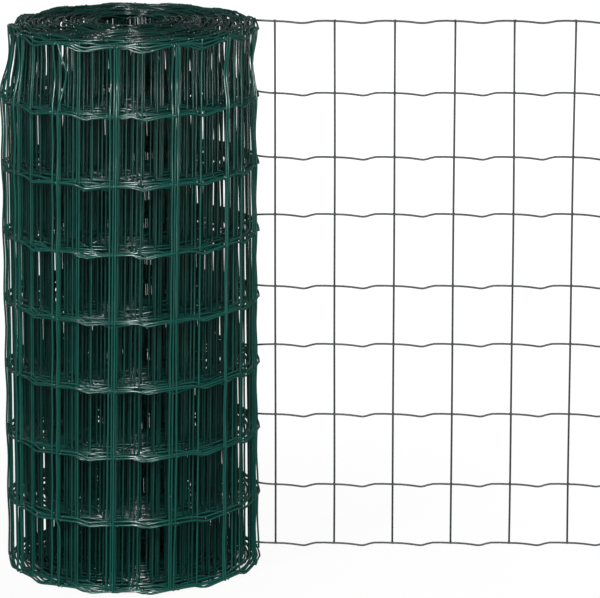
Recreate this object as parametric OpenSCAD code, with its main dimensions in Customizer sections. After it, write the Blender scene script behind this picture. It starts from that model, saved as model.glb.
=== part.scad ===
// Roll of welded wire fencing, standing on its end, with its free end folded out flat.
// The roll's axis is Z, the floor is z = 0, and the free end runs along +X.
// All lengths are in millimetres.

/* [Mesh] */
// Diameter of the coated wire
wire_d = 2.2; // [1.6:0.1:3]
// Spacing of the line wires, which run along the fence
line_pitch = 76.2; // [50:0.1:110]
// Number of line wires
line_count = 9; // [3:1:14]
// Spacing of the stay wires, which stand upright
stay_pitch = 67; // [45:0.5:110]
// Spacing of the stays on the roll, where winding has drawn the crimps a little flatter
wound_pitch = 70.5; // [45:0.5:110]
// Height of the crimp in a line wire, between two stays
crimp_h = 4; // [1:0.5:6]
// How far the stays stand past the first and the last line wire
stay_overhang = 1; // [0.5:0.5:4]
// How far two wires sink into each other at a weld
weld_sink = 0.5; // [0.4:0.05:0.8]

/* [Roll] */
// Diameter of the roll over its outermost stays
roll_d = 290; // [220:1:450]
// Diameter of the hollow inside the innermost turn
bore_d = 68; // [40:1:120]
// Number of turns in the roll
turn_count = 45; // [12:1:60]
// Depth of the groove between two turns, on the ends of the roll
groove_depth = 3; // [1:0.5:10]
// How far the roll draws in between two line wires
waist_depth = 3; // [1:0.5:5]

/* [Free end] */
// Number of whole cells in the unrolled end
free_cells = 6; // [2:1:8]
// Distance of the unrolled end behind the roll's axis
sheet_y = 40; // [0:1:60]
// Radius at which the free end is folded out, to the middle of the wire
fold_r = 14; // [8:1:30]
// Distance from the fold to the first stay of the free end
first_stay_gap = 11; // [2:0.5:30]
// Length of line wire left past the last stay
cut_stub = 5; // [2:1:15]
// Length of line wire that still lies on the roll before the fold
lead_len = 5; // [2:1:12]
// Gap between the free end and the turn that it leaves
lay_gap = 0.1; // [0.05:0.05:0.3]

/* [Hidden] */
$fn = 96;
coating = [0.03, 0.22, 0.17];
wire_sides = 6;
fold_steps = 6;
ridge_step_a = 30;

// Share of the crimp that dips below the level of the welds
dip_share = 0.75;
// One crimp: places along a cell and heights, as shares of the cell and of crimp_h
crimp_shares = [[0, 0], [0.3, -0.2], [0.5, -dip_share], [0.62, -0.1], [0.75, 1 - dip_share], [0.9, 0.1]];
// Places between two line wires where the waist is drawn
waist_shares = [0.12, 0.3, 0.5, 0.7, 0.88];
// Widest land on the ends of the roll, as a share of the turn's pitch
land_share = 0.5;
// Places along the lead, from its start to the fold
lead_shares = [1, 0.5];
// How far each row of the free end lies off its even place, from the foot up, as shares of line_pitch
row_shares = [0.01, -0.07, 0.02, 0.1, -0.01, 0.08, -0.06, -0.1, -0.03];

wire_r = wire_d / 2;
weld_step = wire_d - weld_sink;
line_z0 = wire_r + max(crimp_h * dip_share, stay_overhang);
line_top = line_z0 + (line_count - 1) * line_pitch;
roll_h = line_top + wire_r + max(crimp_h * (1 - dip_share), stay_overhang);
stay_bottom = line_z0 - wire_r - stay_overhang;
stay_top = line_top + wire_r + stay_overhang;

// Radii of the roll: over the stays, over the line wires, and to the middle of the line wires
roll_r = roll_d / 2;
line_r = roll_r - weld_step;
line_mid_r = line_r - wire_r;
bore_r = bore_d / 2;
turn_pitch = (line_mid_r - wire_d - bore_r) / (turn_count - 1);
land_w = min(wire_d, turn_pitch * land_share);

// The free end lies on the outermost ridges up to fold_a, turns outwards there at fold_r,
// and then runs straight along +X.
lay_r = line_r + lay_gap + wire_r;
fold_a = asin((sheet_y + fold_r) / (lay_r + fold_r));
fold_x = (lay_r + fold_r) * cos(fold_a);
first_stay_x = fold_x + first_stay_gap;
end_stay_x = first_stay_x + free_cells * stay_pitch;
degree_per_length = 180 / PI;
lead_a = lead_len / lay_r * degree_per_length;

// Stays of the outermost turn, counted back along the mesh from the first stay of the free end
fold_len = fold_r * (90 - fold_a) / degree_per_length;
stay_step_a = wound_pitch / line_mid_r * degree_per_length;
last_stay_a = fold_a + stay_step_a - (fold_len + first_stay_gap) / line_mid_r * degree_per_length;
outer_stay_count = floor(360 / stay_step_a);

function line_z(k) = line_z0 + k * line_pitch;
function row_lift(k) = line_pitch * row_shares[k % len(row_shares)];
function polar(r, a) = [r * cos(a), r * sin(a)];
function reversed(list) = [for (n = [len(list) - 1:-1:0]) list[n]];
// How far the roll is drawn in, at a share of the way between two line wires
function waist(share) = waist_depth * (1 - cos(360 * share)) / 2;

// One end of the roll from the bore outwards: a flat land for each turn, and a groove
// between each two. The grooves go up where rise is groove_depth.
function end_points(z, rise) =
    [for (i = [0:turn_count - 1])
        let(land = bore_r + i * turn_pitch,
            flat = [[land, z], [land + land_w, z]],
            groove = [land + (land_w + turn_pitch) / 2, z + rise])
        each i < turn_count - 1 ? concat(flat, [groove]) : flat];

// Outside of the roll, from the floor up: a round ridge for each line wire,
// and a shallow waist between each two.
function ridge_points(k) =
    [for (a = [-90:ridge_step_a:90]) [line_mid_r, line_z(k)] + polar(wire_r, a)];
function waist_points(k, r) =
    [for (share = waist_shares) [r - waist(share), line_z(k) + share * line_pitch]];
function side_points() =
    [for (k = [0:line_count - 1])
        each k < line_count - 1 ? concat(ridge_points(k), waist_points(k, line_mid_r)) : ridge_points(k)];

module turned_roll() {
    rotate_extrude()
        polygon(concat(
            end_points(0, groove_depth),
            side_points(),
            reversed(end_points(roll_h, -groove_depth))));
}

// Outer edge of a stay, which touches roll_r at each line wire and bows in between them
function bowed_points() =
    [for (k = [0:line_count - 1])
        each k < line_count - 1
            ? concat([[roll_r, line_z(k)]], waist_points(k, roll_r))
            : [[roll_r, line_z(k)]]];

module outer_stay(angle) {
    root_r = line_mid_r - waist_depth - wire_d;
    rotate([90, 0, angle])
        linear_extrude(wire_d, center = true)
            polygon(concat(
                [[root_r, stay_bottom], [roll_r, stay_bottom]],
                bowed_points(),
                [[roll_r, stay_top], [root_r, stay_top]]));
}

module roll() {
    color(coating) {
        turned_roll();
        for (i = [0:outer_stay_count - 1])
            outer_stay(last_stay_a + i * stay_step_a);
    }
}

// Plan of a line wire of the free end. Each entry is a place [x, y], the heading there
// in degrees, and the height over the roll's ridge. The wire reaches its row's lift in the fold.
function lead_plan() =
    [for (share = lead_shares)
        let(a = fold_a + share * lead_a)
        [polar(lay_r, a), a - 90, 0]];
function fold_plan(lift) =
    [for (i = [0:fold_steps])
        let(share = i / fold_steps, a = fold_a + share * (90 - fold_a))
        [polar(lay_r + fold_r, fold_a) - polar(fold_r, a), a - 90, share * lift]];
function cell_plan(lift) =
    [for (i = [0:free_cells - 1], crimp = crimp_shares)
        [[first_stay_x + (i + crimp[0]) * stay_pitch, sheet_y], 0, lift + crimp[1] * crimp_h]];
function end_plan(lift) =
    [[[end_stay_x, sheet_y], 0, lift], [[end_stay_x + cut_stub, sheet_y], 0, lift]];

// Points of the rings round a plan, and the faces that close them into one solid
function ring_points(plan) =
    [for (p = plan, i = [0:wire_sides - 1])
        let(section = polar(wire_r, 360 * i / wire_sides))
        [p[0][0] - section[0] * sin(p[1]), p[0][1] + section[0] * cos(p[1]), p[2] + section[1]]];
function ring_faces(rings) =
    [for (r = [0:rings - 2], i = [0:wire_sides - 1])
        let(j = (i + 1) % wire_sides, near = r * wire_sides, far = near + wire_sides)
        [near + i, far + i, far + j, near + j]];
function cap_faces(rings) =
    let(last = (rings - 1) * wire_sides)
    [[for (i = [0:wire_sides - 1]) i], [for (i = [wire_sides - 1:-1:0]) last + i]];

module line_wire(lift) {
    plan = concat(lead_plan(), fold_plan(lift), cell_plan(lift), end_plan(lift));
    polyhedron(ring_points(plan), concat(ring_faces(len(plan)), cap_faces(len(plan))));
}

module free_stay(n) {
    translate([first_stay_x + n * stay_pitch, sheet_y + weld_step, stay_bottom])
        cylinder(h = stay_top - stay_bottom, r = wire_r, $fn = wire_sides);
}

module free_end() {
    color(coating) {
        for (k = [0:line_count - 1])
            translate([0, 0, line_z(k)])
                line_wire(row_lift(k));
        for (n = [0:free_cells])
            free_stay(n);
    }
}

roll();
free_end();
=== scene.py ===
import math
import bpy
import numpy as np
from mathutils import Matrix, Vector


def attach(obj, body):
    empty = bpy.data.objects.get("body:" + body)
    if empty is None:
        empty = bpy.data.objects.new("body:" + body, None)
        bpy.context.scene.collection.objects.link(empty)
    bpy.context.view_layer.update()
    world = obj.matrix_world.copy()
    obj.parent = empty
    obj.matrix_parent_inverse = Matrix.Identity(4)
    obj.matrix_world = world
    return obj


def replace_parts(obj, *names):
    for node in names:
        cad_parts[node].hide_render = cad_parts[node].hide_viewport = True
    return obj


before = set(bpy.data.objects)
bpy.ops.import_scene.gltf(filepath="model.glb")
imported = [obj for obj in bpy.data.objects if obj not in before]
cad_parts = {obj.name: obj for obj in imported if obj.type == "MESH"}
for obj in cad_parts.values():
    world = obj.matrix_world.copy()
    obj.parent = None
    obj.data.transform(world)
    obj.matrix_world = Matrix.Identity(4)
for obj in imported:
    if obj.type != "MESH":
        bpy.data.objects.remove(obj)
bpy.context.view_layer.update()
scene = bpy.context.scene
print("frame loaded:", sorted(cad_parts))

toMetres = 0.001  # every length below is in millimetres
dice = np.random.default_rng(7)

# the fencing itself: nine crimped line wires and the stays welded across them
fencing = {
    "lineCount": 9,
    "linePitch": 76.2,
    "footLine": 4.1,     # height of the lowest line wire
    "wireRadius": 1.1,
    "weldStep": 1.7,     # from the middle of a line wire out to the middle of a stay
    "overhang": 0.0,     # stay past the outside of the first and last line wire
    "dip": 3.4,          # crimp below the welds
    "crest": 0.6,        # crimp above the welds
    "veePlace": 0.48,    # share of the cell where the crimp is sharpest, on the roll
    "crestPlace": 0.73,
    "downPower": 1.9,    # how the wire steepens towards the vee
    "risePower": 1.7,    # how it eases into the crest
    # how far the vees are rounded, as shares of the cell, from the foot up
    "rounding": [0.05, 0.05, 0.05, 0.05, 0.05, 0.05, 0.05, 0.06, 0.12],
    "roundingSteps": 7,
}

# how the turns lie in the roll, from the bore out to where the mesh leaves it
winding = {
    "turns": 45,
    "gridSteps": 9000,         # how finely the winding is worked out
    "innerRadius": 35.1,       # middle of the innermost line wire
    "outerRadius": 143.4,      # middle of the line wire where it leaves the roll
    "outerStep": 2.2,          # radial step of the outermost turn
    "stayPitch": 67.5,
    "evenTurns": 1.2,          # outer turns that keep their pitch
    "stayError": 0.9,          # how unevenly the cells inside lie
    "firstStay": 2.0,          # least length from the inner end to the first stay
    "frontStay": 237.6,        # angle of one stay of the outermost turn, in degrees
    "lastStay": 35.9,          # angle of the last stay on the roll
    "lastCells": 7,            # cells from the front stay to the last one
    "lump": 0.7,               # how far a turn strays from its circle
    # its waves: size, radians by angle and by turn, and start
    "lumpWaves": [(1.0, 3, 1.3, 0.4), (0.7, 5, -0.8, 2.0), (0.5, 8, 2.3, 0.0)],
    "lumpTurns": (0.02, 0.2),  # turns over which the lumps set in
    "lumpEnd": 0.3,            # turns over which they die out at the bore
    "drift": 2.2,              # how far a turn strays up or down
    # its waves: size, radians by turn and by row, and start
    "driftWaves": [(0.6, 4.5, 1.9, 0.0), (0.6, 2.1, 0.7, 1.1)],
    "driftTurns": (0.5, 2.5),  # turns over which it sets in
    "coreRise": 6.5,           # how much higher the innermost turn stands than the outermost
    "riseStart": -0.45,        # where the curve of that rise starts, as a share of the turns
    # how far the outer stays bow in between two line wires, from the foot up
    "waist": [1.2, 1.2, 1.2, 1.2, 1.2, 1.4, 1.8, 5.5],
    "waistError": (0.8, 0.4),  # least share of that, and how much it varies
    "looseTurns": (1.0, 3.0),  # turns over which the stays tighten
    "tightness": 0.8,          # share of the bow and the lean that is lost inside
    "tuck": 10.0,              # how far the top of the outer turns is drawn in at one side
    "tuckAngle": 180.0,
    "tuckSpread": 40.0,
    "tuckTurns": (0.5, 20),    # turns over which it fades
    "lean": 0.5,               # how far an outer stay sways along the path
    "leanWaves": (5, 11),      # its two waves, in radians over the height
    "skew": 13.0,              # how far the mesh leans back along the path over its whole height
    "crimpGain": [1.2, 1.0, 1.2, 1.1, 1.1, 1.5, 1.3, 1.4, 2.4],  # outermost turns, from the foot up
    "crimpTurns": (1.7, 2.6),  # turns over which these give way to the crimps inside
    "crimpRun": 200.0,         # length over which they die out at the fold
    "topDepth": 1.25,          # depth of the crimps inside at the top, against that at the foot
    "cellDepth": (0.7, 0.8),   # least depth of a crimp inside, and how much it varies
}

# bends in two stretches of the front stay: heights, and how far the stay stands along the path
kinks = [
    {"heights": [538, 584, 613], "reaches": [0, -8.5, 0]},
    {"heights": [4, 70, 80], "reaches": [-3.5, -4.5, 0]},
]

# the unrolled end, standing flat beside the roll
freeEnd = {
    "sheetY": 40.0,
    "foldRadius": 14.0,
    "firstStayX": 160.0,
    "cells": 6,
    "stayPitch": 67.0,
    "stub": 5.0,
    "veePlace": 0.5,
    "lean": 0.4,         # how far its stays sway, as a share of those on the roll
    "liftRun": 40.0,     # length on the roll over which the rows part
    "dullRun": 60.0,     # length on the roll over which the coating dulls and its painted shade sets in
    "rowLift": [0.01, -0.07, 0.02, 0.1, -0.01, 0.08, -0.06, -0.1, -0.03],  # shares of the line pitch
}


# smooth step: zero before a, one after b, and 3t^2 - 2t^3 between
def ease(value, a, b):
    t = np.clip((value - a) / (b - a), 0, 1)
    return t * t * (3 - 2 * t)


# running sum of values over places, by the trapezium rule, starting from zero
def running(values, places):
    return np.concatenate([[0], np.cumsum((values[1:] + values[:-1]) / 2 * np.diff(places))])


# the winding, by turns counted in from the outside: the radial step falls evenly from the
# outermost turn to the bore, the radius is the outer one less the running sum of the steps,
# and the length is the running sum of 2 * pi * radius
turnGrid = np.linspace(0, winding["turns"], winding["gridSteps"] + 1)
meanStep = (winding["outerRadius"] - winding["innerRadius"]) / winding["turns"]
stepGrid = np.linspace(winding["outerStep"], 2 * meanStep - winding["outerStep"], len(turnGrid))
radiusGrid = winding["outerRadius"] - running(stepGrid, turnGrid)
lengthGrid = running(2 * math.pi * radiusGrid, turnGrid)

# lengths along the mesh, from the bore to the tip
foldReach = winding["outerRadius"] + freeEnd["foldRadius"]
foldAngle = math.asin((freeEnd["sheetY"] + freeEnd["foldRadius"]) / foldReach)
foldCentre = foldReach * np.array([math.cos(foldAngle), math.sin(foldAngle)])
rollLength = lengthGrid[-1]
foldLength = freeEnd["foldRadius"] * (math.pi / 2 - foldAngle)
firstFree = rollLength + foldLength + freeEnd["firstStayX"] - foldCentre[0]
meshLength = firstFree + freeEnd["cells"] * freeEnd["stayPitch"] + freeEnd["stub"]


# turns counted in from the outside, at path length s
def turnsIn(s):
    return np.interp(rollLength - np.asarray(s, float), lengthGrid, turnGrid)


# path length of an angle, in degrees, on the outermost turn
def lengthAt(angle):
    return rollLength - np.interp((math.radians(angle) - foldAngle) / (2 * math.pi), turnGrid, lengthGrid)


# plan of the mesh: place and outward side at path length s. The roll is a radius, with a few
# sine waves added, times (cos, sin) of an angle that falls with s, the fold is an arc that turns
# the other way, and the flat part is a straight line along x.
def planOf(s):
    s = np.asarray(s, float)
    turns = turnsIn(s)
    angle = foldAngle + 2 * math.pi * turns
    stray = 0
    for size, byAngle, byTurn, start in winding["lumpWaves"]:
        stray = stray + size * np.sin(byAngle * angle + byTurn * turns + start)
    stray = stray / sum(wave[0] for wave in winding["lumpWaves"])
    settle = ease(turns, *winding["lumpTurns"]) * ease(winding["turns"] - turns, 0, winding["lumpEnd"])
    radius = np.interp(turns, turnGrid, radiusGrid) + winding["lump"] * settle * stray
    arc = np.clip((s - rollLength) / freeEnd["foldRadius"], 0, math.pi / 2 - foldAngle) + foldAngle
    along = np.clip(s - rollLength - foldLength, 0, None)
    past = s > rollLength
    x = np.where(past, foldCentre[0] - freeEnd["foldRadius"] * np.cos(arc) + along, radius * np.cos(angle))
    y = np.where(past, foldCentre[1] - freeEnd["foldRadius"] * np.sin(arc), radius * np.sin(angle))
    side = np.where(past, arc, angle)
    return x, y, np.cos(side), np.sin(side)


# how far the mesh is drawn in at path length s and a level counted in line wires: a bell
# round one side of the outer turns, eased in between the last two line wires
def tuckAt(s, level):
    turns = turnsIn(s)
    angle = np.degrees(foldAngle + 2 * math.pi * turns) % 360
    bell = np.exp(-((angle - winding["tuckAngle"]) / winding["tuckSpread"]) ** 2)
    top = ease(level, fencing["lineCount"] - 2, fencing["lineCount"] - 1)
    return winding["tuck"] * bell * (1 - ease(turns, *winding["tuckTurns"])) * top


# how the turns have slipped along themselves as they were wound tight, so that the stays of one
# stand in the gaps of the others and little light comes through the roll
slipping = {
    "slips": np.arange(-36, 37, 2),  # slips that are tried
    "everyTurns": 0.5,               # how often along the winding the slip changes
    "change": 16,                    # most that it changes by
    "sweeps": 5,
    # sides that the gaps are seen from, the depth and the share of the width that count, and how much
    "looks": [
        {"side": -87.6, "depth": -200, "width": 1.0, "weight": 3.0},
        {"side": -30.0, "depth": -200, "width": 1.0, "weight": 1.0},
        {"side": 30.0, "depth": -200, "width": 1.0, "weight": 1.0},
        {"side": 88.0, "depth": -200, "width": 1.0, "weight": 1.0},
        {"side": -87.6, "depth": 0, "width": 0.25, "weight": 3.0},  # into the bore
    ],
    "heights": [0.12, 0.3, 0.5, 0.7, 0.88, 0.97],  # shares of the roll's height
    "distance": 4400.0,  # of the eye from the roll's axis
    "fall": 0.24,        # how steeply the looks go down
    "bin": 0.4,          # width of a place where a gap can be
    "margin": 6.0,       # how far past the winding such places go
    "edge": 0.86,        # share of the width past which a gap counts more
    "edgeGain": 4.0,
}


# one value of all looks, as an array over looks x heights x stays
def lookValues(key):
    return np.array([look[key] for look in slipping["looks"]], float)[:, None, None]


# how many stays at path lengths s stand at each place across the roll, for each look and height.
# A stay is seen at its way across the look times distance / (distance + its depth), and covers
# a wire's width there. s may have more axes, of which the last runs over the stays.
def staysSeen(s):
    reach = winding["outerRadius"] + slipping["margin"]
    bins = int(2 * reach / slipping["bin"])
    x, y, sideX, sideY = (a[..., None, None, :] for a in planOf(s))
    side = np.radians(lookValues("side"))
    depth = -x * np.cos(side) - y * np.sin(side)
    high = (fencing["lineCount"] - 1) * fencing["linePitch"]
    level = np.array(slipping["heights"])[:, None] - slipping["fall"] * depth / high
    slide = -winding["skew"] * (level - 0.5)
    x = x + sideX * fencing["weldStep"] + sideY * slide
    y = y + sideY * fencing["weldStep"] - sideX * slide
    near = slipping["distance"] / (slipping["distance"] + depth)
    across = (y * np.cos(side) - x * np.sin(side)) * near
    half = fencing["wireRadius"] * near * (depth > lookValues("depth"))
    ends = np.stack([across - half, across + half]) + reach
    ends = np.round(ends / slipping["bin"]).astype(int).clip(0, bins)
    shape = ends.shape[1:-1]
    count = np.prod(shape)
    row = np.arange(count).reshape(*shape, 1) * (bins + 1)
    starts, stops = (np.bincount((row + end).ravel(), minlength=count * (bins + 1)) for end in ends)
    return np.cumsum((starts - stops).reshape(*shape, bins + 1), -1)[..., :-1]


# slip of each stay, in so many turns from where the slipping starts: it runs evenly from knot to
# knot, and each knot in turn takes the slip that leaves the fewest gaps, a few times over
def slipsOf(even, inside, fixed):
    knots = np.arange(0, inside.max(), slipping["everyTurns"])
    slips = np.zeros(len(knots))
    seen = staysSeen(np.concatenate([even, fixed]))
    width = np.abs(np.linspace(-1, 1, seen.shape[-1]))
    gain = 1 + (slipping["edgeGain"] - 1) * (width > slipping["edge"])
    gain = gain * lookValues("weight") * (width < lookValues("width"))
    for k in list(range(2, len(knots) - 1)) * slipping["sweeps"]:
        nearby = np.abs(inside - knots[k]) < slipping["everyTurns"]
        change = np.abs(slipping["slips"][:, None] - slips[[k - 1, k + 1]]).max(1)
        tries = np.append(slipping["slips"][change <= slipping["change"]], slips[k])
        trials = np.repeat(slips[None], len(tries), 0)
        trials[:, k] = tries
        places = np.stack([even[nearby] + np.interp(inside[nearby], knots, trial) for trial in trials])
        others = seen - staysSeen(places[-1])
        gaps = ((others + staysSeen(places) == 0) * gain).sum((1, 2, 3))
        slips = trials[gaps.argmin()]
        seen = others + staysSeen(places[gaps.argmin()])
    return np.interp(inside, knots, slips)


# places of the stays along the path: even steps back from the front stay, shifted by a small
# error and the slip inside the roll, even steps on to the last stay of the roll, and even
# steps on the flat part
def stayPlaces():
    front = lengthAt(winding["frontStay"])
    on = np.linspace(front, lengthAt(winding["lastStay"]), winding["lastCells"] + 1)[1:]
    back = front - winding["stayPitch"] * np.arange(int(front // winding["stayPitch"]) + 1)
    inside = turnsIn(back) - winding["evenTurns"]
    back = back + winding["stayError"] * dice.normal(0, 1, len(back)) * ease(inside, 0, 1)
    back = np.sort(back + slipsOf(back, inside, on))
    wound = np.concatenate([back[back > winding["firstStay"]], on])
    return wound, firstFree + freeEnd["stayPitch"] * np.arange(freeEnd["cells"] + 1)


woundPlaces, freePlaces = stayPlaces()
allPlaces = np.concatenate([woundPlaces, freePlaces])
rowGain = np.linspace(1, winding["topDepth"], fencing["lineCount"])[:, None]
leastGain, gainSpread = winding["cellDepth"]
cellGain = rowGain * (leastGain + gainSpread * dice.random((fencing["lineCount"], len(allPlaces))))
print("mesh of %.2f m in all, with %d stays" % (meshLength * toMetres, len(allPlaces)))


# cell that path length s lies in, and the share of the cell that is behind it
def cellOf(s):
    cell = np.clip(np.searchsorted(allPlaces, s, side="right") - 1, 0, len(allPlaces) - 2)
    share = (s - allPlaces[cell]) / (allPlaces[cell + 1] - allPlaces[cell])
    return cell, np.where((share < 0) | (share > 1), 0, share)


# crimp of a line wire at a share of its cell: a slope that steepens down to the vee,
# a quick rise that eases into the crest, and a fall back to the next stay
def crimpOf(share, vee):
    top = fencing["crestPlace"]
    dip, crest = fencing["dip"], fencing["crest"]
    down = -dip * np.clip(share / vee, 0, 1) ** fencing["downPower"]
    short = 1 - np.clip((share - vee) / (top - vee), 0, 1)
    rise = crest - (dip + crest) * short ** fencing["risePower"]
    fall = crest * (1 - ease(share, top, 1))
    return np.where(share < vee, down, np.where(share < top, rise, fall))


# level of line wire number row at path length s, without its crimps: its even height, the
# rise towards the core, the turn's own drift, and the free end's uneven rows eased in
# round the fold
def lineLevel(row, s):
    turns = turnsIn(s)
    even = fencing["footLine"] + row * fencing["linePitch"]
    curve = winding["riseStart"] * winding["turns"], winding["turns"]
    rise = winding["coreRise"] * (ease(turns, *curve) - ease(0, *curve))
    wander = 0
    for size, byTurn, byRow, start in winding["driftWaves"]:
        wander = wander + size * np.sin(byTurn * turns + byRow * row + start)
    drift = winding["drift"] * ease(turns, *winding["driftTurns"]) * wander
    lift = freeEnd["rowLift"][row] * fencing["linePitch"]
    return even + rise + drift + lift * ease(s, rollLength - freeEnd["liftRun"], firstFree)


# height of a line wire at path length s: its level and the crimp of the cell, averaged over
# the rounding and deeper on the outermost turns; the lowest wires rest on the floor
def lineHeight(row, s):
    cell, share = cellOf(s)
    turns = turnsIn(s)
    inner = ease(turns, *winding["crimpTurns"])
    outer = (1 - inner) * ease(rollLength - s, 0, winding["crimpRun"])
    gain = 1 + (winding["crimpGain"][row] - 1) * outer + (cellGain[row][cell] - 1) * inner
    apart = np.minimum(fencing["rounding"][row], np.minimum(share, 1 - share))
    vee = np.where(s < rollLength, fencing["veePlace"], freeEnd["veePlace"])
    parts = np.linspace(-1, 1, fencing["roundingSteps"])
    crimp = np.mean([crimpOf(share + part * apart, vee) for part in parts], axis=0)
    return np.maximum(lineLevel(row, s) + gain * crimp, fencing["wireRadius"])


# sweep of a round profile along many paths at once: each ring is the path's point plus
# radius * (cos a * e1 + sin a * e2), with e1 and e2 square to the path, and both ends closed.
# paths and sides are arrays of paths x rings x 3, where a side is any way off the path.
def sweep(paths, sides, radius, corners):
    count, rings = paths.shape[:2]
    ahead = np.gradient(paths, axis=1)
    ahead /= np.linalg.norm(ahead, axis=2, keepdims=True)
    e1 = sides - (sides * ahead).sum(2, keepdims=True) * ahead
    e1 /= np.linalg.norm(e1, axis=2, keepdims=True)
    e2 = np.cross(ahead, e1)
    a = np.arange(corners) * 2 * math.pi / corners
    ring = np.cos(a)[:, None] * e1[:, :, None, :] + np.sin(a)[:, None] * e2[:, :, None, :]
    points = (paths[:, :, None, :] + radius * ring).reshape(-1, 3)
    start = (np.arange(count) * rings * corners)[:, None, None]
    near = start + (np.arange(rings - 1) * corners)[None, :, None]
    i = np.arange(corners)[None, None, :]
    j = (i + 1) % corners
    quads = np.stack([near + i, near + j, near + corners + j, near + corners + i], -1).reshape(-1, 4)
    first = start[:, :, 0] + np.arange(corners)[::-1]
    last = start[:, :, 0] + (rings - 1) * corners + np.arange(corners)
    return points, quads, np.concatenate([first, last])


# mesh object from an array of points, smooth faces and flat faces, riding on the one body
def makePiece(name, points, rounded, flat, material, attributes):
    mesh = bpy.data.meshes.new(name)
    sizes = np.repeat([rounded.shape[1], flat.shape[1]], [len(rounded), len(flat)]).astype(np.int32)
    loops = np.concatenate([rounded.ravel(), flat.ravel()]).astype(np.int32)
    mesh.vertices.add(len(points))
    mesh.vertices.foreach_set("co", (points * toMetres).astype(np.float32).ravel())
    mesh.loops.add(len(loops))
    mesh.loops.foreach_set("vertex_index", loops)
    mesh.polygons.add(len(sizes))
    mesh.polygons.foreach_set("loop_start", (np.cumsum(sizes) - sizes).astype(np.int32))
    mesh.polygons.foreach_set("loop_total", sizes)
    mesh.polygons.foreach_set("use_smooth", np.arange(len(sizes)) < len(rounded))
    for key, values in attributes.items():
        mesh.attributes.new(key, "FLOAT", "POINT").data.foreach_set("value", values.astype(np.float32))
    mesh.update(calc_edges=True)
    mesh.materials.append(material)
    piece = bpy.data.objects.new(name, mesh)
    scene.collection.objects.link(piece)
    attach(piece, "root")
    return piece


# one shader value, with Python's operators standing for Math nodes
class Value:
    def __init__(self, tree, socket=None):
        self.tree = tree
        self.socket = socket

    # any node: its type, its settings, and the values or links of its sockets by name or number
    def node(self, kind, settings, sockets):
        made = self.tree.nodes.new(kind)
        for key, setting in settings.items():
            setattr(made, key, setting)
        for key, value in sockets.items():
            if isinstance(value, Value):
                self.tree.links.new(value.socket, made.inputs[key])
            else:
                made.inputs[key].default_value = value
        return made

    # one result of such a node, as a value
    def out(self, kind, settings, sockets, result=0):
        return Value(self.tree, self.node(kind, settings, sockets).outputs[result])

    # a Math node on two values or numbers
    def maths(self, operation, a, b):
        return self.out("ShaderNodeMath", {"operation": operation}, {0: a, 1: b})

    def __add__(self, other):
        return self.maths("ADD", self, other)

    def __radd__(self, other):
        return self.maths("ADD", other, self)

    def __sub__(self, other):
        return self.maths("SUBTRACT", self, other)

    def __rsub__(self, other):
        return self.maths("SUBTRACT", other, self)

    def __mul__(self, other):
        return self.maths("MULTIPLY", self, other)

    def __rmul__(self, other):
        return self.maths("MULTIPLY", other, self)

    # this value, held between zero and one
    def clamped(self):
        return self.out("ShaderNodeClamp", {}, {"Value": self})

    # this value as the share of the second colour over the first
    def mixed(self, first, second):
        return self.out("ShaderNodeMix", {"data_type": "RGBA"}, {0: self, 6: first, 7: second}, 2)


# colour of three numbers as a socket takes it
def rgba(colour):
    return (*colour, 1)


# noise on the piece's own coordinates, in waves per metre
def noise(v, look):
    place = v.out("ShaderNodeTexCoord", {}, {}, "Object")
    sockets = {"Vector": place, "Scale": look["scale"], "Detail": look["detail"]}
    return v.out("ShaderNodeTexNoise", {}, sockets)


# empty material, its shader, and a value to start expressions from
def newMaterial(name):
    material = bpy.data.materials.new(name)
    material.use_nodes = True
    return material, material.node_tree.nodes["Principled BSDF"], Value(material.node_tree)


# link of a value to a shader's socket
def feed(shader, socket, value):
    value.tree.links.new(value.socket, shader.inputs[socket])


coating = {
    "green": (0.006, 0.078, 0.061),
    "paintedShade": (0.001, 0.022, 0.018),       # painted shade: darker inside the roll, where the turns shade each other
    "stretched": (0.050, 0.150, 0.125),  # where the crimp has drawn the coating thin
    "flatEndShade": (0.007, 0.014, 0.0125),    # painted shade: the same coating painted darker and greyer on the flat end
    "roughness": 0.18,
    "dullRoughness": 0.32,               # how much rougher the flat end is
    "gloss": 1.0,
    # patches along a wire, and the grain of the drawn surface
    "broad": {"scale": 24.0, "detail": 3.0},
    "fine": {"scale": 420.0, "detail": 4.0},
    "patches": 0.8,                      # how far the patches shift the green
    "dullPatches": 0.4,                  # how far they shift the painted shade of the flat end
    "unevenGloss": 0.2,                  # how far the patches and the grain shift the roughness
    "stretchFrom": 0.42,                 # grain at which the stretched spots start
    "stretchGain": 3.2,                  # how sharply they do
    "stretchShare": 0.5,                 # how far they show
    "grainBump": 0.1,
    "grainDepth": 0.0004,                # in metres
}
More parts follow.
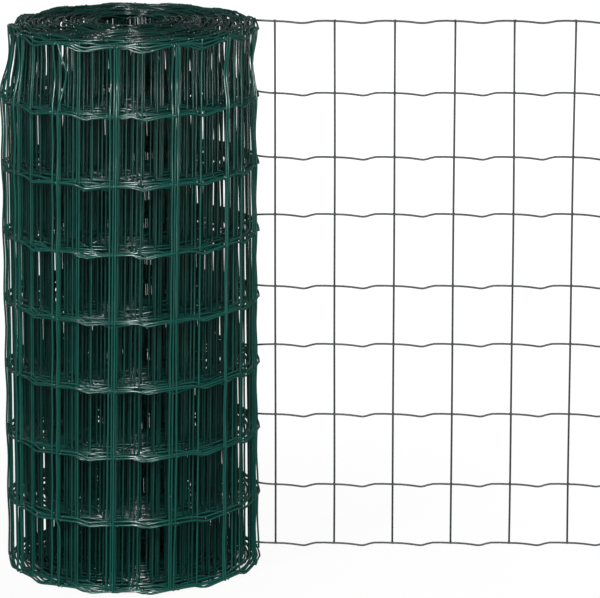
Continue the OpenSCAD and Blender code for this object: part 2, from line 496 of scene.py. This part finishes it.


# coating: green that wanders from wire to wire and along each one, with painted shade that darkens it
# inside the roll and on the flat end, paler where the crimp has stretched it, rougher on the flat end,
# with an uneven gloss and a faintly drawn surface
def makeCoating():
    material, shader, v = newMaterial("greenCoating")
    toneAndShade = v.out("ShaderNodeAttribute", {"attribute_name": "toneAndShade"}, {}, "Fac")
    bend = v.out("ShaderNodeAttribute", {"attribute_name": "bend"}, {}, "Fac")
    dull = v.out("ShaderNodeAttribute", {"attribute_name": "dull"}, {}, "Fac")
    broad = noise(v, coating["broad"]) - 0.5
    fine = noise(v, coating["fine"])
    # painted shade: the deeper turns are mixed towards the darker colour
    shade = (broad * coating["patches"] + toneAndShade).clamped()
    green = shade.mixed(rgba(coating["paintedShade"]), rgba(coating["green"]))
    # painted shade: the flat end is mixed towards a darker, greyer colour
    endShadeShare = (dull + broad * coating["dullPatches"] * dull).clamped()
    shadedEndColour = endShadeShare.mixed(green, rgba(coating["flatEndShade"]))
    spots = ((fine - coating["stretchFrom"]) * coating["stretchGain"]).clamped()
    drawn = (bend * (1 - dull) * spots * coating["stretchShare"]).clamped()
    feed(shader, "Base Color", drawn.mixed(shadedEndColour, rgba(coating["stretched"])))
    uneven = (broad + fine - 0.5) * coating["unevenGloss"]
    feed(shader, "Roughness", (uneven + coating["roughness"] + dull * coating["dullRoughness"]).clamped())
    shader.inputs["Specular IOR Level"].default_value = coating["gloss"]
    grain = {"Strength": coating["grainBump"], "Distance": coating["grainDepth"], "Height": fine}
    feed(shader, "Normal", v.out("ShaderNodeBump", {}, grain))
    return material


cutEnd = {
    "dark": (0.06, 0.09, 0.08),
    "bright": (0.26, 0.30, 0.29),
    "grain": {"scale": 900.0, "detail": 3.0},
    "roughness": 0.25,
    "unevenGloss": 0.3,
    "metal": 0.7,
    "inside": 0.6,           # length of the peg inside the wire
    "proud": 0.1,            # length of the peg past the coating
    "share": 0.78,           # its radius, as a share of the wire's
    "off": (0.3, 0.7, 0.2),  # a way that no wire runs
}


# cut ends: bare drawn steel, a little dulled
def makeCutSteel():
    material, shader, v = newMaterial("cutSteel")
    grain = noise(v, cutEnd["grain"])
    feed(shader, "Base Color", grain.mixed(rgba(cutEnd["dark"]), rgba(cutEnd["bright"])))
    feed(shader, "Roughness", grain * cutEnd["unevenGloss"] + cutEnd["roughness"])
    shader.inputs["Metallic"].default_value = cutEnd["metal"]
    return material


greenCoating = makeCoating()
cutSteel = makeCutSteel()
print("materials made")

wireDetail = {
    "corners": 8,
    "shares": [0, 0.14, 0.27, 0.37, 0.44, 0.49, 0.54, 0.6, 0.69, 0.84],  # rings of a line wire in a cell
    "beforeFold": 10.0,  # closer rings start this far before the fold
    "afterFold": 6.0,    # and stop this far before the first stay of the flat part
    "foldRings": 12,
    "tip": 0.5,          # where the inner end starts
    "innerSteps": 4,     # rings of a stay between two line wires
    "outerSteps": 8,     # the same on the outer turns and the flat part
    "outerTurns": 3.0,
    "bendWidth": 0.07,   # how far the stretched coating spreads from the vee, as a share of the cell
    "toneWave": 0.28,    # how far the tone of a line wire wanders
    "toneByTurn": 2.5,
    "toneError": 0.22,   # how far the tones of the stays differ
}

# how green each kind of wire is: its tone outside, how far that falls inside the roll as painted shade,
# and over which turns
tonesWithShade = {
    "line": {"outer": 0.9, "fall": 0.7, "turns": (3, 16)},
    "stay": {"outer": 1.0, "fall": 0.8, "turns": (1.4, 8)},
    "weld": {"outer": 1.0, "fall": 0.9, "turns": (1.2, 5)},
}


# places of a line wire's rings: the same shares of every cell, and closer ones round the fold
def ringPlaces():
    cells = allPlaces[:-1, None] + np.diff(allPlaces)[:, None] * np.array(wireDetail["shares"])[None, :]
    closer = rollLength - wireDetail["beforeFold"], firstFree - wireDetail["afterFold"]
    fold = np.linspace(*closer, wireDetail["foldRings"])
    tips = [wireDetail["tip"], allPlaces[-1], meshLength]
    return np.unique(np.round(np.concatenate([cells.ravel(), fold, tips]), 2))


# how dull the coating is at path length s, that is how much rougher and darker with painted shade: not at
# all on the roll, and fully on the flat part
def dullness(s):
    return ease(s, rollLength - freeEnd["dullRun"], firstFree)


# tone of a kind of wire at path length s: the outer tone, less its fall eased over the turns, which is
# painted shade inside the roll
def toneWithShadeOf(kind, s):
    look = tonesWithShade[kind]
    return look["outer"] - look["fall"] * ease(turnsIn(s), *look["turns"])


# what the coating reads at each point: the tone with its painted shade, the bend, and the dullness with
# its painted shade, at its place along the path, each of them repeated for all the points of that place
def marksOf(toneAndShade, bend, places, each):
    marks = {"toneAndShade": toneAndShade, "bend": bend, "dull": dullness(places)}
    return {key: np.repeat(values, each) for key, values in marks.items()}


# a line wire: a round profile along the plan, at the row's crimped height
def makeLineWire(row, places):
    x, y, sideX, sideY = planOf(places)
    tuck = tuckAt(places, row)
    path = np.stack([x - sideX * tuck, y - sideY * tuck, lineHeight(row, places)], 1)[None]
    sides = np.stack([sideX, sideY, 0 * x], 1)[None]
    tube = sweep(path, sides, fencing["wireRadius"], wireDetail["corners"])
    bend = np.exp(-((cellOf(places)[1] - fencing["veePlace"]) / wireDetail["bendWidth"]) ** 2)
    wander = wireDetail["toneWave"] * np.sin(wireDetail["toneByTurn"] * turnsIn(places) + row)
    # painted shade: the tone falls the deeper the turn lies in the roll; the wave on it varies the tone
    marks = marksOf(toneWithShadeOf("line", places) + wander, bend, places, wireDetail["corners"])
    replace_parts(makePiece("line_wire_%d" % (row + 1), *tube, greenCoating, marks), "roll", "free_end")
    return path[0, [0, 1, -2, -1]]


lineRings = ringPlaces()
lineTips = np.stack([makeLineWire(row, lineRings) for row in range(fencing["lineCount"])])
print("line wires made with", len(lineRings), "rings each")


# stays: each stands on the outer side of the line wires at its place along the path. It is
# the weld step away from every line wire and bows in between them, and it leans and sways
# along the path by a few smooth waves, apart from the two bends of the front stay.
def stayPaths(places, steps, onRoll):
    rows = fencing["lineCount"]
    level = np.linspace(0, rows - 1, (rows - 1) * steps + 1)
    band = np.floor(level).astype(int).clip(0, rows - 2)
    share = level - band
    rowLevels = np.stack([lineLevel(row, places) for row in range(rows)], 1)
    z = rowLevels[:, band] * (1 - share) + rowLevels[:, band + 1] * share
    reach = fencing["overhang"] + fencing["wireRadius"]
    z = np.concatenate([z[:, :1] - reach, z, z[:, -1:] + reach], 1)
    hump = np.concatenate([[0], (1 - np.cos(2 * np.pi * share)) / 2, [0]])
    band = np.concatenate([[0], band, [rows - 2]])
    looseness = (1 - winding["tightness"] * ease(turnsIn(places), *winding["looseTurns"]))[:, None]
    least, spread = winding["waistError"]
    bow = np.array(winding["waist"]) * (least + spread * dice.random((len(places), rows - 1)))
    bow = onRoll * looseness * bow
    tuck = tuckAt(places[:, None], np.concatenate([[0], level, [rows - 1]])[None, :])
    out = fencing["weldStep"] - bow[:, band] * hump - tuck
    waves = dice.normal(0, 1, (len(places), 4))
    lean = winding["lean"] * looseness * (1 if onRoll else freeEnd["lean"])
    height = z / (rows * fencing["linePitch"])
    longWave, shortWave = winding["leanWaves"]
    long = waves[:, :1] * np.sin(longWave * height + waves[:, 1:2])
    short = waves[:, 2:3] * np.sin(shortWave * height + waves[:, 3:])
    slide = lean * (long + short) - onRoll * winding["skew"] * (height - 0.5)
    isFront = np.isclose(places, lengthAt(winding["frontStay"]))
    for kink in kinks:
        slide = slide + isFront[:, None] * np.interp(z, kink["heights"], kink["reaches"])
    x, y, sideX, sideY = (a[:, None] for a in planOf(places))
    path = np.stack([x + sideX * out + sideY * slide, y + sideY * out - sideX * slide, z], 2)
    return path, np.stack([sideX + 0 * z, sideY + 0 * z, 0 * z], 2)


# stays of one stretch of the mesh, each with a tone of its own at random, plus painted shade that darkens
# it deeper in the roll
def makeStays(name, places, steps, onRoll, node):
    path, sides = stayPaths(places, steps, onRoll)
    tube = sweep(path, sides, fencing["wireRadius"], wireDetail["corners"])
    toneAndShade = toneWithShadeOf("stay", places) + dice.normal(0, wireDetail["toneError"], len(places))
    marks = marksOf(toneAndShade, 0 * toneAndShade, places, path.shape[1] * wireDetail["corners"])
    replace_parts(makePiece(name, *tube, greenCoating, marks), node)
    return path[:, [0, 1, -2, -1]]


isOuter = turnsIn(woundPlaces) < wireDetail["outerTurns"]
stayTips = np.concatenate([
    makeStays("inner_stays", woundPlaces[~isOuter], wireDetail["innerSteps"], 1, "roll"),
    makeStays("outer_stays", woundPlaces[isOuter], wireDetail["outerSteps"], 1, "roll"),
    makeStays("free_stays", freePlaces, wireDetail["outerSteps"], 0, "free_end"),
])
print("stays made:", len(woundPlaces), "on the roll and", len(freePlaces), "on the free end")

# half sizes of a bead: along the wires, and out from the roll
weld = {"reach": 1.75, "depth": 1.5}


# welds: a small bead at every crossing, where the coating fills the corners. A bead is an
# octahedron with its edges halved and its points pushed out to an ellipsoid.
def makeWelds():
    poles = np.concatenate([np.eye(3), -np.eye(3)])
    x, y, z = np.meshgrid([0, 3], [1, 4], [2, 5], indexing="ij")
    corners = np.stack([x, y, z], -1).reshape(-1, 3)
    odd = (corners > 2).sum(1) % 2 == 1
    corners[odd] = corners[odd][:, [0, 2, 1]]
    a, b, c = poles[corners].transpose(1, 0, 2)
    quarters = np.stack([[a, a + b, a + c], [b, b + c, a + b], [c, a + c, b + c], [a + b, b + c, a + c]])
    unit, index = np.unique(quarters.transpose(0, 2, 1, 3).reshape(-1, 3), axis=0, return_inverse=True)
    faces = index.reshape(-1, 3)
    unit = unit / np.linalg.norm(unit, axis=1, keepdims=True)
    x, y, sideX, sideY = planOf(allPlaces)
    rows = np.arange(fencing["lineCount"])
    out = fencing["weldStep"] / 2 - tuckAt(allPlaces[:, None], rows[None, :])
    level = np.stack([lineLevel(row, allPlaces) for row in rows], 1)
    centre = np.stack([x[:, None] + sideX[:, None] * out, y[:, None] + sideY[:, None] * out, level], 2)
    centre = centre.reshape(-1, 3)
    axes = np.stack([np.stack([sideX, sideY, 0 * x], 1), np.stack([-sideY, sideX, 0 * x], 1),
                     np.stack([0 * x, 0 * x, 0 * x + 1], 1)], 1)
    scaled = unit * np.array([weld["depth"], weld["reach"], weld["reach"]])
    shapes = np.einsum("pi,sij->spj", scaled, axes).repeat(fencing["lineCount"], axis=0)
    points = (centre[:, None, :] + shapes).reshape(-1, 3)
    rounded = (np.arange(len(centre))[:, None, None] * len(unit) + faces[None]).reshape(-1, 3)
    # painted shade: the beads are darker the deeper they lie in the roll
    toneAndShade = toneWithShadeOf("weld", allPlaces)
    marks = marksOf(toneAndShade, 0 * toneAndShade, allPlaces, fencing["lineCount"] * len(unit))
    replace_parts(makePiece("welds", points, rounded, rounded[:0], greenCoating, marks), "roll", "free_end")


makeWelds()


# cut ends: a short steel peg in each end of every wire, standing a hair out of the coating
def makeCutEnds():
    tips = np.concatenate([stayTips, lineTips])
    ends = np.concatenate([tips[:, [1, 0]], tips[:, [2, 3]]])
    out = ends[:, 1] - ends[:, 0]
    out /= np.linalg.norm(out, axis=1, keepdims=True)
    path = np.stack([ends[:, 1] - cutEnd["inside"] * out, ends[:, 1] + cutEnd["proud"] * out], 1)
    sides = np.broadcast_to(np.cross(out, cutEnd["off"])[:, None], path.shape)
    tube = sweep(path, sides, cutEnd["share"] * fencing["wireRadius"], wireDetail["corners"])
    makePiece("cut_ends", *tube, cutSteel, {})


makeCutEnds()
print("welds and cut ends made")

studio = {
    "ambient": 0.03,
    "reflected": 0.05,      # how bright the surroundings look in the gloss
    "floorReflected": 0.012,
    "lamps": {
        "left": {"place": (-1.8, -2.3, 2.1), "aim": (0, 0, 0.2), "size": (0.6, 0.2), "power": 46.0},
        "right": {"place": (0.3, -2.9, 2.1), "aim": (0, 0, 0.2), "size": (0.8, 0.22), "power": 54.0},
        # low, so that it doesn't glare on the roll's top from behind
        "front": {"place": (0.3, -3.2, 0.55), "aim": (0, 0, 0.3), "size": (0.6, 0.22), "power": 36.0},
        "fill": {"place": (0.6, -3.4, 0.45), "aim": (0.1, 0, 0.1), "size": (1.2, 0.6), "power": 20.0},
        # glows on the turns of the roll's top
        "backLeft": {"place": (-1.1, 3.4, 1.35), "aim": (0, 0, 0.6), "size": (0.6, 0.5), "power": 1.0},
        "backRight": {"place": (1.1, 3.4, 1.35), "aim": (0, 0, 0.6), "size": (0.6, 0.5), "power": 1.0},
        # plain light for the sides that the photo doesn't show
        "back": {"place": (0.2, 3.4, 0.9), "aim": (0.1, 0, 0.3), "size": (2.4, 1.2), "power": 90.0,
                 "matt": True},
        "side": {"place": (3.2, 1.2, 0.9), "aim": (0.1, 0, 0.3), "size": (1.2, 1.2), "power": 50.0,
                 "matt": True},
    },
}

floorLook = {
    "reach": 6000.0,
    "grey": 0.06,
    "dim": 0.07,           # how much less it glows near the roll, so that the shadow shows
    "near": 0.9,           # how far that reaches, in metres
    "foot": 0.125,         # radius of the painted shadow under the roll, where the floor doesn't glow, in metres
    "footEdge": (0.8, 3),  # share of the square of that where the glow sets in, and how sharply
}


# share of a white glow that a ray gets: all of it to the camera, and the reflected share in the gloss
def seenShare(v, reflected):
    rays = v.node("ShaderNodeLightPath", {}, {}).outputs
    seen = Value(v.tree, rays["Is Camera Ray"]) + Value(v.tree, rays["Is Transmission Ray"])
    return (seen + Value(v.tree, rays["Is Glossy Ray"]) * reflected).clamped()


# floor: one wide quad, plain pale grey, lifted to white for the camera, but less near the
# roll, where its shadow falls, and not under it, so that a painted shadow lies under the roll
def makeFloor():
    reach = floorLook["reach"] * toMetres
    mesh = bpy.data.meshes.new("floor")
    corners = [(-reach, -reach, 0), (reach, -reach, 0), (reach, reach, 0), (-reach, reach, 0)]
    mesh.from_pydata(corners, [], [(0, 1, 2, 3)])
    floor = bpy.data.objects.new("floor", mesh)
    scene.collection.objects.link(floor)
    material, shader, v = newMaterial("paleFloor")
    tree = material.node_tree
    tree.nodes.remove(shader)
    seen = seenShare(v, studio["floorReflected"])
    place = v.out("ShaderNodeTexCoord", {}, {}, "Object")
    split = v.node("ShaderNodeSeparateXYZ", {}, {"Vector": place})
    x, y = Value(tree, split.outputs[0]), Value(tree, split.outputs[1])
    away = x * x + y * y
    edge, sharpness = floorLook["footEdge"]
    # painted shadow: the glow is taken away under the roll
    under = ((away * (1 / floorLook["foot"] ** 2) - edge) * sharpness).clamped()
    dimmed = (1 - away * (1 / floorLook["near"] ** 2)).clamped() * floorLook["dim"]
    glow = v.out("ShaderNodeEmission", {}, {"Strength": seen * under * (1 - dimmed)})
    matt = v.out("ShaderNodeBsdfDiffuse", {}, {"Color": rgba([floorLook["grey"]] * 3)})
    both = v.node("ShaderNodeAddShader", {}, {0: glow, 1: matt})
    tree.links.new(both.outputs[0], tree.nodes["Material Output"].inputs["Surface"])
    mesh.materials.append(material)


makeFloor()


# lamp: a softbox at a place, turned to its aim; a matt one makes no glints
def makeLamp(name, values):
    lamp = bpy.data.lights.new(name, "AREA")
    lamp.energy = values["power"]
    lamp.shape = "RECTANGLE"
    lamp.size, lamp.size_y = values["size"]
    holder = bpy.data.objects.new(name, lamp)
    holder.location = values["place"]
    holder.rotation_euler = (Vector(values["aim"]) - holder.location).to_track_quat("-Z", "Y").to_euler()
    holder.visible_glossy = not values.get("matt", False)
    scene.collection.objects.link(holder)


for name, values in studio["lamps"].items():
    makeLamp(name, values)


# surroundings: white to the camera, dimmer in the gloss and as light
def makeWorld():
    world = bpy.data.worlds.new("studioWorld")
    world.use_nodes = True
    scene.world = world
    seen = seenShare(Value(world.node_tree), studio["reflected"])
    back = world.node_tree.nodes["Background"]
    back.inputs["Color"].default_value = (1, 1, 1, 1)
    feed(back, "Strength", seen + (1 - seen) * studio["ambient"])


makeWorld()
print("studio made")

# the photo's view: its place in metres, how far it looks down, and its focal length and width
# in pixels
photoView = {"place": (0.188, -4.4, 1.3688), "pitch": 13.62, "pixels": 4036.5, "width": 600, "far": 100}
lens = bpy.data.cameras.new("photoCamera")
lens.lens = photoView["pixels"] / photoView["width"] * lens.sensor_width
lens.clip_end = photoView["far"]
viewer = bpy.data.objects.new("photoCamera", lens)
viewer.location = photoView["place"]
viewer.rotation_euler = (math.radians(90 - photoView["pitch"]), 0, 0)
scene.collection.objects.link(viewer)
scene.camera = viewer
scene.view_settings.view_transform = "Standard"
